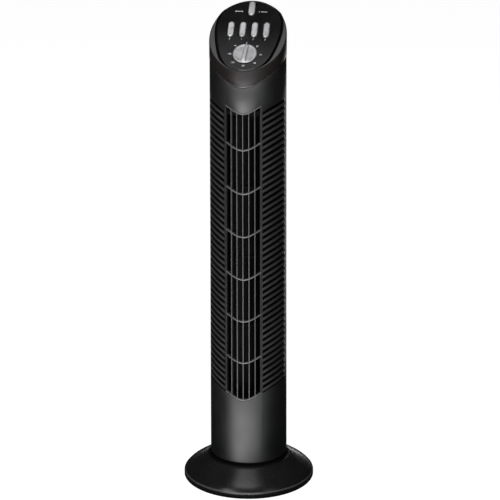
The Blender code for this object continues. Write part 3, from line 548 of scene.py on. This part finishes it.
def baffle_seals():
    """Foam strips over the air baffles, from beside the wheel to the wall of the column."""
    overlap = 0.012
    half = 0.0012
    for label, sign in SIDES:
        bm = bmesh.new()
        rings = []
        for z in spread(INTAKE_BOTTOM - overlap, INTAKE_TOP + overlap, 24):
            outer = column_radius(z) - WALL - 0.0002
            corners = ((BAFFLE_SEAL_R, -half), (outer, -half), (outer, half), (BAFFLE_SEAL_R, half))
            rings.append([around(sign * (BAFFLE_ANGLE + shift / r), r, z) for r, shift in corners])
        loops(bm, rings)
        piece("baffle_seal_%s" % label, bm, [FOAM], "column", angle=40.0)


WHEEL_SECTIONS = 4
WHEEL_BLADES = 30
WHEEL_RING = 0.003
BLADE_HALF_ANGLE = 0.009


def blade_outline(phi):
    """(radius, angle) points round a blade's section, from the rim inwards and back."""
    line = []
    for t in spread(0.0, 1.0, 4):
        line.append((IMPELLER_R - 0.0004 - BLADE_DEPTH * t, phi + BLADE_SWEEP * math.sin(math.pi * 0.5 * t)))
    leading = [(radius, angle - BLADE_HALF_ANGLE) for radius, angle in line]
    return leading + [(radius, angle + BLADE_HALF_ANGLE) for radius, angle in reversed(line)]


def wheel():
    """Cross-flow wheel: curved blades in four sections between thin rings."""
    bm = bmesh.new()
    inside = IMPELLER_R - BLADE_DEPTH
    span = (IMPELLER_TOP - IMPELLER_BOTTOM + WHEEL_RING) / WHEEL_SECTIONS
    lows = [IMPELLER_BOTTOM + part * span for part in range(WHEEL_SECTIONS)]
    for top in lows + [IMPELLER_TOP]:
        bottom = top - WHEEL_RING
        turn(bm, [(IMPELLER_R, bottom), (IMPELLER_R, top), (inside, top), (inside, bottom)], 48, IMPELLER_Y)
    for part, low in enumerate(lows):
        heights = (low - 0.0002, low + span - WHEEL_RING + 0.0002)
        for k in range(WHEEL_BLADES):
            outline = blade_outline(2.0 * math.pi * (k + 0.5 * (part % 2)) / WHEEL_BLADES)
            loops(bm, [[around(angle, radius, z, IMPELLER_Y) for radius, angle in outline] for z in heights])
    piece("blower_wheel", bm, [IMPELLER_PAINTED_SHADE], "impeller", ["impeller_cage"])


# ---------------------------------------------------------------- head


def groove_share(s):
    """The groove round the panel narrows towards its two ends."""
    full = min(1.0, max(0.0, (s - 0.008) / 0.016), max(0.0, (0.136 - s) / 0.018))
    return GROOVE_AT_ENDS + (1.0 - GROOVE_AT_ENDS) * full


def panel_outline(grow=0.0):
    """The panel's egg-shaped edge on the oblique face, grown by this much where the groove is full."""
    half = [
        (0.0, 0.0018),
        (0.0140, 0.0044),
        (0.0255, 0.0113),
        (0.0335, 0.0218),
        (0.0390, 0.0348),
        (0.0435, 0.0508),
        (0.0470, 0.0688),
        (0.0485, 0.0868),
        (0.0474, 0.1018),
        (0.0434, 0.1158),
        (0.0360, 0.1264),
        (0.0250, 0.1348),
        (0.0130, 0.1400),
        (0.0, 0.1416),
    ]
    points = half + [(-x, s) for x, s in reversed(half[1:-1])]
    path = smooth_path([Vector((x, s)) for x, s in points], 5)
    grown = []
    for k, point in enumerate(path):
        along = (path[(k + 1) % len(path)] - path[k - 1]).normalized()
        grown.append(point + Vector((along.y, -along.x)) * grow * groove_share(point.y))
    return [(p.x, p.y) for p in grown]


def smooth_path(points, pieces):
    """Closed Catmull-Rom line through the points."""
    count = len(points)
    path = []
    for k in range(count):
        before, start, end, after = (points[(k + step) % count] for step in (-1, 0, 1, 2))
        for step in range(pieces):
            t = step / pieces
            bend = (end - before) * t + (before * 2.0 - start * 5.0 + end * 4.0 - after) * t * t
            bend += (start * 3.0 - before - end * 3.0 + after) * t * t * t
            path.append(start + bend * 0.5)
    return path


LONG_HALF = HEAD_R / math.cos(HEAD_SLOPE)


def rim_direction(x, s):
    """Shares of the rim's half axes where the line from the face's centre through (x, s) meets it."""
    across = x / HEAD_R
    up = (s - LONG_HALF) / LONG_HALF
    size = math.hypot(across, up)
    return across / size, up / size


def rim_point(across, up, inset, drop):
    """Point this far in from the head's elliptical rim and this far below the oblique face."""
    point = on_face(across * (HEAD_R - inset), LONG_HALF + up * (LONG_HALF - inset / math.cos(HEAD_SLOPE)))
    return point - Vector((0.0, 0.0, drop))


def head_section(groove, panel):
    """Points from inside the skirt, up the wall, over the rim and down the groove, by name."""
    across, up = rim_direction(*groove)
    phi = math.atan2(across, -up)
    low = seam_height(phi) + GAP / 2.0
    soft = min(0.0014, 0.6 * math.hypot(across * HEAD_R - groove[0], LONG_HALF * (1.0 + up) - groove[1]))
    side = rim_point(across, up, 0.0, soft * 1.25)
    face = rim_point(across, up, soft, 0.0)
    brink = on_face(*groove)
    centre_s = 0.07
    shrunk = (panel[0] * 0.96, centre_s + (panel[1] - centre_s) * 0.96)
    return {
        "inside": around(phi, HEAD_R - WALL, low + 0.002),
        "lip": around(phi, HEAD_R - WALL, low),
        "seam": around(phi, HEAD_R - 0.0009, low),
        "wall": around(phi, HEAD_R, low + 0.0011),
        "upper_wall": around(phi, HEAD_R, low + 0.5 * (side.z - low)),
        "rim_side": side,
        "rim_round": rim_point(across, up, soft * 0.10, soft * 0.50),
        "rim_top": rim_point(across, up, soft * 0.45, soft * 0.08),
        "face": face,
        "inner_face": (face + brink) / 2.0,
        "groove_wall": brink,
        "groove_turn": on_face(*groove, -GROOVE_DEPTH),
        "groove_floor": on_face(*panel, -GROOVE_DEPTH),
        "middle": on_face(*shrunk, -GROOVE_DEPTH),
    }


# The head's oblique face is a lighter black as painted light, the rounding at the skirt's lower edge a
# painted highlight, and the groove round the panel painted shade.
HEAD_MATERIALS = [HEAD_BLACK, FACE_GRAIN_AND_LIGHT, EDGE_HIGHLIGHT, PAINTED_SHADE_BLACK]
HEAD_BANDS = {"face": 1, "inner_face": 1, "seam": 2, "groove_wall": 3, "groove_turn": 3, "groove_floor": 3}


def head_shell():
    """Head cap: a skirt from the curved seam, a rounded rim, the oblique face and the panel's groove."""
    sections = [head_section(*places) for places in zip(panel_outline(GROOVE), panel_outline(0.0002))]
    bands = list(sections[0])
    bm = bmesh.new()
    layers = loops(bm, [[section[band] for section in sections] for band in bands], caps=False)
    for number, face in enumerate(bm.faces):
        face.material_index = HEAD_BANDS.get(bands[number // len(sections)], 0)
    bm.faces.new(layers[-1])
    piece("head_shell", bm, HEAD_MATERIALS, "column", ["head_cap"], angle=42.0)


MERGE = 0.000001


def add_curve(bm, curve, matrix=None):
    """Adds a filled curve's or a text's mesh, moved by the matrix."""
    holder = bpy.data.objects.new(curve.name, curve)
    bpy.context.scene.collection.objects.link(holder)
    bpy.context.view_layer.update()
    graph = bpy.context.evaluated_depsgraph_get()
    mesh = bpy.data.meshes.new_from_object(holder.evaluated_get(graph))
    if matrix is not None:
        mesh.transform(matrix)
    bm.from_mesh(mesh)
    bpy.data.objects.remove(holder, do_unlink=True)
    bpy.data.meshes.remove(mesh)


def flat_plate(name, outlines, bottom, top, soft, matrix):
    """A plate with rounded edges. The first outline is its edge, the others are holes in it."""
    curve = bpy.data.curves.new(name, "CURVE")
    curve.dimensions = "2D"
    curve.fill_mode = "BOTH"
    curve.extrude = (top - bottom) / 2.0 - soft
    curve.bevel_depth = soft
    curve.bevel_resolution = 2
    curve.offset = -soft
    for outline in outlines:
        spline = curve.splines.new("POLY")
        spline.points.add(len(outline) - 1)
        spline.use_cyclic_u = True
        for point, (x, y) in zip(spline.points, outline):
            point.co = (x, y, 0.0, 1.0)
    bm = bmesh.new()
    add_curve(bm, curve)
    bmesh.ops.remove_doubles(bm, verts=bm.verts, dist=MERGE)
    bm.transform(matrix @ Matrix.Translation((0.0, 0.0, (bottom + top) / 2.0)))
    return bm


def capsule(length, width, centre=(0.0, 0.0), inset=0.0):
    """Outline with two half circles for ends, this far inside its full length and width."""
    radius = max(width / 2.0 - inset, 0.0)
    straight = (length - width) / 2.0
    points = []
    for start, shift in ((0.0, straight), (math.pi, -straight)):
        for angle in spread(start, start + math.pi, 12):
            x, y = radius * math.cos(angle), shift + radius * math.sin(angle)
            points.append((centre[0] + x, centre[1] + y))
    return points


def circle(radius, count, centre=(0.0, 0.0)):
    points = []
    for k in range(count):
        angle = 2.0 * math.pi * k / count
        points.append((centre[0] + radius * math.cos(angle), centre[1] + radius * math.sin(angle)))
    return points


SPEED_KEYS = (
    ("key_off", "off_key"),
    ("key_low", "low_key"),
    ("key_medium", "medium_key"),
    ("key_high", "high_key"),
)


def key_places():
    places = []
    for k, (node_name, body) in enumerate(SPEED_KEYS):
        places.append((node_name, body, KEY_PITCH * (k - 1.5), KEY_S, KEY_LENGTH, KEY_WIDTH))
    return places + [("key_oscillation", "swing_key", 0.0, SWING_KEY_S, SWING_KEY_LENGTH, SWING_KEY_WIDTH)]


def control_panel():
    """The panel's plate, with a slot for each key and a hole for the timer's shaft."""
    outlines = [panel_outline()]
    for _, _, x, s, length, width in key_places():
        grown = 2.0 * SLOT_CLEARANCE + 0.0003
        outlines.append(capsule(length + grown, width + grown, (x, s))[::-1])
    outlines.append(circle(TIMER_SHAFT_R + 0.001, 24, (0.0, KNOB_S))[::-1])
    bm = flat_plate("panel_shape", outlines, GAP - PANEL_RECESS, PANEL_TOP, 0.0011, face_matrix(0.0, 0.0))
    piece("panel", bm, [PANEL], "column", ["control_panel"], angle=12.0)


def smooth(t):
    """Eases from 0 to 1 as t goes from 0 to 1."""
    t = min(1.0, max(0.0, t))
    return t * t * (3.0 - 2.0 * t)


KEY_STEPS = (
    (KEY_BOTTOM, 0.0),
    (KEY_TOP - 0.0028, 0.0),
    (KEY_TOP - 0.00095, 0.0001),
    (KEY_TOP - 0.0004, 0.0005),
    (KEY_TOP - 0.0001, 0.0011),
    (KEY_TOP, 0.0018),
    (KEY_TOP - 0.0001, 0.0030),
    (KEY_TOP - 0.0002, 0.0042),
)
KEY_END = 0.45
KEY_END_TAPER = 0.55
KEY_DIP = -0.10


def key_width_share(along):
    """A key narrows at its rounded ends, a little at its dip, and a little over its lower half."""
    past = max(0.0, abs(along) - KEY_END) / (1.0 - KEY_END)
    ends = math.sqrt(max(0.0, 1.0 - KEY_END_TAPER * past * past))
    waist = 0.07 * math.exp(-(((along - KEY_DIP) / 0.30) ** 2))
    return ends * (1.0 - waist - 0.06 * min(1.0, max(0.0, -along)))


def key(node_name, body, x, s, length, width):
    """Push key: straight sides, a soft shoulder and a top that falls away over its lower half."""
    bm = bmesh.new()
    rings = []
    for height, inset in KEY_STEPS:
        ring = []
        for px, py in capsule(length, width, inset=inset):
            along = py / (length / 2.0)
            drop = KEY_DROP * smooth((0.10 - along) / 0.60) if height > KEY_TOP - 0.001 else 0.0
            ring.append(on_face(x + px * key_width_share(along), s + py, height - drop))
        rings.append(ring)
    loops(bm, rings)
    piece("cap_%s" % node_name, bm, [KEY_SILVER_AND_LIGHT], body, [node_name], angle=50.0)


BAR_LEFT = -0.0042
BAR_RIGHT = 0.0040
BAR_LEAN = 0.075
BAR_LEFT_SLOPE = 0.0036
BAR_RIGHT_SLOPE = 0.0012


def knob_height(x, y):
    """Top of the knob: a dish with a finger bar across it, sloping on its left and steep on its right."""
    across = x - BAR_LEAN * y
    dish = KNOB_DISH * (1.0 - smooth(max(BAR_LEFT - across, across - BAR_RIGHT) / (KNOB_R - 0.0055)))
    bar = smooth((across - BAR_LEFT) / BAR_LEFT_SLOPE) * smooth((BAR_RIGHT - across) / BAR_RIGHT_SLOPE)
    ends = smooth((KNOB_R - 0.0014 - math.hypot(x, y)) / 0.0030)
    return ends * (bar * (KNOB_GRIP - 0.0006 + KNOB_DISH) - dish)


def knob():
    """Timer knob: a rounded rim round a dished top with a finger bar."""
    bm = bmesh.new()
    profile = [
        (KNOB_R - 0.0010, KNOB_BOTTOM),
        (KNOB_R, KNOB_BOTTOM + 0.0006),
        (KNOB_R, KNOB_TOP - 0.0014),
        (KNOB_R - 0.0003, KNOB_TOP - 0.0006),
        (KNOB_R - 0.0010, KNOB_TOP - 0.0001),
    ]
    profile += [(radius, KNOB_TOP) for radius in spread(KNOB_R - 0.0016, 0.0004, 30)]
    rings = []
    for radius, height in profile:
        ring = []
        for px, py in circle(radius, 120):
            lift = knob_height(px, py) if height == KNOB_TOP else 0.0
            ring.append(on_face(px, KNOB_S + py, height + lift))
        rings.append(ring)
    loops(bm, rings)
    piece("timer_dial", bm, [SILVER], "knob", ["timer_knob"], angle=50.0)


PRINT_HEIGHT = PANEL_TOP + 0.00005


def printed(name, figures, bars=()):
    """Small printed figures: (text, x, s, size), and thin bars: (x, s, length, width, degrees)."""
    bm = bmesh.new()
    for text, x, s, size in figures:
        curve = bpy.data.curves.new("figure", "FONT")
        curve.body = text
        curve.size = size
        curve.align_x = "CENTER"
        curve.align_y = "CENTER"
        curve.extrude = 0.00004
        curve.resolution_u = 3
        add_curve(bm, curve, face_matrix(x, s, PRINT_HEIGHT))
    for x, s, length, width, degrees in bars:
        turned = face_matrix(x, s, PRINT_HEIGHT) @ Matrix.Rotation(math.radians(degrees), 4, "Z")
        bmesh.ops.create_cube(bm, size=1.0, matrix=turned @ Matrix.Diagonal((length, width, 0.0001, 1.0)))
    piece(name, bm, [PRINT], "column", recalc=False)


MINUTES = ("0", "20", "40", "60", "80", "100", "120")
DIAL_R = 0.0236
UPRIGHT_R = 0.0228


def on_dial(degrees, radius=DIAL_R):
    angle = math.radians(degrees)
    return radius * math.cos(angle), KNOB_S + radius * math.sin(angle)


def dial_figures():
    figures = []
    for k, text in enumerate(MINUTES):
        radius = UPRIGHT_R if k % 4 == 0 else DIAL_R
        figures.append((text, *on_dial(90.0 - 45.0 * k, radius), 0.0040))
    printed("dial_figures", figures, [(*on_dial(135.0), 0.0034, 0.0008, 0.0)])


def key_figures():
    printed("key_figures", [(str(k), KEY_PITCH * (k - 1.5), KEY_S - 0.0190, 0.0044) for k in range(4)])


def swing_marks():
    """A double arrow to the left of the swing key, and two strokes to its right."""
    middle = SWING_KEY_S - 0.0062
    bars = [(-0.0188, middle, 0.0118, 0.0009, 0.0)]
    for tip, slant in ((-0.0240, 40.0), (-0.0136, -40.0)):
        bars += [(tip, middle + side * 0.0005, 0.0020, 0.0007, side * slant) for side in (1.0, -1.0)]
    bars += [(0.0118, middle, 0.0007, 0.0024, 0.0), (0.0195, middle, 0.0096, 0.0009, 0.0)]
    printed("swing_marks", [], bars)


# ---------------------------------------------------------------- base


DOME_INSIDE = 0.0364
RIM_WALL = 0.0024
# Painted shade on the collar inside COLLAR_EDGE_R, and a painted highlight on the rim's bevel between
# BEVEL_LOW and BEVEL_HIGH, within BEVEL_WIDTH of the edge.
COLLAR_EDGE_R = 0.0642
BEVEL_LOW = 0.0088
BEVEL_HIGH = 0.0108
BEVEL_WIDTH = 0.0022


def dome_profile():
    """(radius, height) points: the post, the collar, the dome, the rounded rim, and the inside."""
    post = [(POST_BORE_R, POST_TOP), (POST_R, POST_TOP), (POST_R, BASE_TOP)]
    collar = [
        (0.0600, BASE_TOP),
        (0.0620, BASE_TOP - 0.00005),
        (0.0630, BASE_TOP - 0.0004),
        (0.0637, BASE_TOP - 0.0011),
        (0.0643, BASE_TOP - 0.0020),
    ]
    dome = [
        (0.0652, 0.0368),
        (0.0680, 0.0351),
        (0.0720, 0.0326),
        (0.0760, 0.0301),
        (0.0805, 0.0273),
        (0.0850, 0.0244),
        (0.0895, 0.0215),
        (0.0935, 0.0188),
        (0.0970, 0.0162),
        (BASE_R - 0.0041, 0.0136),
    ]
    rim = [
        (BASE_R - 0.0024, 0.0118),
        (BASE_R - 0.0017, 0.0110),
        (BASE_R - 0.0011, 0.0103),
        (BASE_R - 0.0006, 0.0096),
        (BASE_R - 0.0002, 0.0088),
        (BASE_R, 0.0080),
        (BASE_R, 0.0018),
        (BASE_R - 0.0005, 0.0010),
    ]
    inside = [
        (BASE_R - RIM_WALL, 0.0010),
        (BASE_R - RIM_WALL, 0.0074),
        (0.0985, 0.0110),
        (0.0934, 0.0158),
        (0.0836, 0.0229),
        (0.0708, 0.0311),
        (0.0640, 0.0342),
        (0.0600, DOME_INSIDE),
        (POST_BORE_R, DOME_INSIDE),
    ]
    return post + collar + dome + rim + inside


def base_dome():
    """The base: a dome with a collar, a post for the column and a small notch for the cord at the rear."""
    bm = bmesh.new()
    turn(bm, dome_profile(), 160)
    for vert in bm.verts:
        in_rim = math.hypot(vert.co.x, vert.co.y) > BASE_R - RIM_WALL - 0.0006
        if in_rim and vert.co.y > 0.0 and abs(vert.co.x) < NOTCH_HALF and vert.co.z < NOTCH_TOP:
            vert.co.z = NOTCH_TOP
    bmesh.ops.remove_doubles(bm, verts=bm.verts, dist=MERGE)
    # Painted shade on the collar under the column's foot, and a painted highlight line on the rim's bevel.
    for face in bm.faces:
        middle = face.calc_center_median()
        radius = math.hypot(middle.x, middle.y)
        if middle.z > DOME_INSIDE and radius < COLLAR_EDGE_R:
            face.material_index = 1
        elif BEVEL_LOW < middle.z < BEVEL_HIGH and radius > BASE_R - BEVEL_WIDTH:
            face.material_index = 2
    piece("base_dome", bm, [BASE_BLACK, PAINTED_SHADE_BLACK, EDGE_HIGHLIGHT], "base", ["base_shell"])


# ---------------------------------------------------------------- stage, lights and camera


def emitter(name, verts, faces, strength, glow):
    """A one-sided light card: a mesh that shines by its points' glow, and that the camera doesn't see."""
    mesh = bpy.data.meshes.new(name)
    mesh.from_pydata(verts, [], faces)
    shine = mesh.attributes.new("glow", "FLOAT", "POINT")
    for item, share in zip(shine.data, glow):
        item.value = share
    mat = bpy.data.materials.new(name)
    mat.use_nodes = True
    tree = mat.node_tree
    tree.nodes.clear()
    out = tree.nodes.new("ShaderNodeOutputMaterial")
    emission = tree.nodes.new("ShaderNodeEmission")
    glowing = tree.nodes.new("ShaderNodeAttribute")
    glowing.attribute_name = "glow"
    side = tree.nodes.new("ShaderNodeNewGeometry")
    both_sides = maths(tree, "MULTIPLY", glowing.outputs["Fac"], strength)
    front = maths(tree, "SUBTRACT", 1.0, side.outputs["Backfacing"])
    tree.links.new(maths(tree, "MULTIPLY", both_sides, front), emission.inputs["Strength"])
    tree.links.new(emission.outputs[0], out.inputs["Surface"])
    mesh.materials.append(mat)
    obj = bpy.data.objects.new(name, mesh)
    bpy.context.scene.collection.objects.link(obj)
    obj.visible_camera = False
    obj.visible_shadow = False


def floor_sector(name, near, far, strength, fade):
    """A fan-shaped card on the floor that lights the column, with its strength by azimuth in degrees."""
    verts = []
    glow = []
    for azimuth, share in fade:
        for radius in (near, far):
            verts.append(around(math.radians(azimuth), radius, 0.004))
            glow.append(share)
    faces = [(2 * k, 2 * k + 1, 2 * k + 3, 2 * k + 2) for k in range(len(fade) - 1)]
    emitter(name, verts, faces, strength, glow)


def softbox(name, place, aim, size, strength):
    data = bpy.data.lights.new(name, "AREA")
    data.shape = "RECTANGLE"
    data.size, data.size_y = size
    data.energy = strength * size[0] * size[1] * math.pi
    obj = bpy.data.objects.new(name, data)
    bpy.context.scene.collection.objects.link(obj)
    obj.location = place
    obj.rotation_mode = "QUATERNION"
    obj.rotation_quaternion = (Vector(aim) - Vector(place)).to_track_quat("-Z", "Y")
    obj.visible_camera = False


FLOOR_HALF = 60.0


def pale_floor():
    mesh = bpy.data.meshes.new("floor")
    corners = [(x * FLOOR_HALF, y * FLOOR_HALF, 0.0) for x, y in ((-1, -1), (1, -1), (1, 1), (-1, 1))]
    mesh.from_pydata(corners, [], [(0, 1, 2, 3)])
    mat = bpy.data.materials.new("pale_floor")
    mat.use_nodes = True
    shader = mat.node_tree.nodes["Principled BSDF"]
    shader.inputs["Base Color"].default_value = (0.30, 0.30, 0.30, 1.0)
    shader.inputs["Roughness"].default_value = 0.9
    shader.inputs["Specular IOR Level"].default_value = 0.0
    shader.inputs["Emission Color"].default_value = (1.0, 1.0, 1.0, 1.0)
    shader.inputs["Emission Strength"].default_value = 0.97
    mesh.materials.append(mat)
    floor = bpy.data.objects.new("floor", mesh)
    bpy.context.scene.collection.objects.link(floor)
    floor.visible_glossy = False
    floor.visible_diffuse = False


def dim_world():
    world = bpy.data.worlds.new("studio")
    world.use_nodes = True
    background = world.node_tree.nodes["Background"]
    background.inputs["Color"].default_value = (1.0, 1.0, 1.0, 1.0)
    background.inputs["Strength"].default_value = 0.02
    bpy.context.scene.world = world
    bpy.context.scene.view_settings.view_transform = "Standard"


FRONT_FADE = (
    (-50, 0.0), (-40, 0.15), (-30, 0.6), (-20, 1.0), (-14, 1.05), (-5, 0.85),
    (5, 0.62), (15, 0.50), (25, 0.36), (35, 0.16), (45, 0.0),
)
BACK_FADE = ((150, 0.0), (158, 0.3), (168, 0.9), (180, 1.0), (192, 0.9), (202, 0.3), (210, 0.0))


def lights():
    floor_sector("front_card", 0.16, 3.2, 9.0, FRONT_FADE)
    softbox("top_box", (-0.05, -0.22, 1.20), (-0.05, -0.22, 0.0), (0.50, 0.40), 2.3)
    softbox("front_box", (0.0, -2.7, 1.5), (0.0, 0.0, 0.3), (3.0, 0.55), 11.0)
    softbox("key_box", (-1.2, -1.6, 2.3), (0.0, 0.0, 0.5), (0.9, 0.9), 4.0)
    softbox("fill_box", (1.5, -1.2, 2.2), (0.0, 0.0, 0.5), (0.8, 0.8), 1.2)
    floor_sector("back_card", 0.5, 3.2, 3.6, BACK_FADE)
    softbox("back_box", (0.0, 2.7, 1.5), (0.0, 0.0, 0.3), (0.7, 0.6), 4.0)


CAMERA_DISTANCE = 3.0
CAMERA_AZIMUTH = math.radians(8.227)
CAMERA_HEIGHT = 1.34348
CAMERA_PITCH = math.radians(17.845)
CAMERA_ROLL = math.radians(-0.11)
CAMERA_LENS = 145.55
CAMERA_SHIFT = 0.0032


def camera():
    data = bpy.data.cameras.new("camera")
    data.lens = CAMERA_LENS
    data.sensor_width = 36.0
    data.shift_x = CAMERA_SHIFT
    data.dof.use_dof = False
    obj = bpy.data.objects.new("camera", data)
    bpy.context.scene.collection.objects.link(obj)
    obj.location = around(CAMERA_AZIMUTH, CAMERA_DISTANCE, CAMERA_HEIGHT)
    turn_z = Matrix.Rotation(CAMERA_AZIMUTH, 3, "Z")
    turn_x = Matrix.Rotation(math.pi / 2.0 - CAMERA_PITCH, 3, "X")
    roll = Matrix.Rotation(CAMERA_ROLL, 3, "Z")
    obj.rotation_mode = "QUATERNION"
    obj.rotation_quaternion = (turn_z @ turn_x @ roll).to_quaternion()
    bpy.context.scene.camera = obj


# ---------------------------------------------------------------- build


camera()
pale_floor()
dim_world()
lights()
dress_cad_nodes()
front_shell()
louvre_slats()
grille()
rear_shell()
baffle_seals()
wheel()
head_shell()
control_panel()
for place in key_places():
    key(*place)
knob()
dial_figures()
key_figures()
swing_marks()
base_dome()
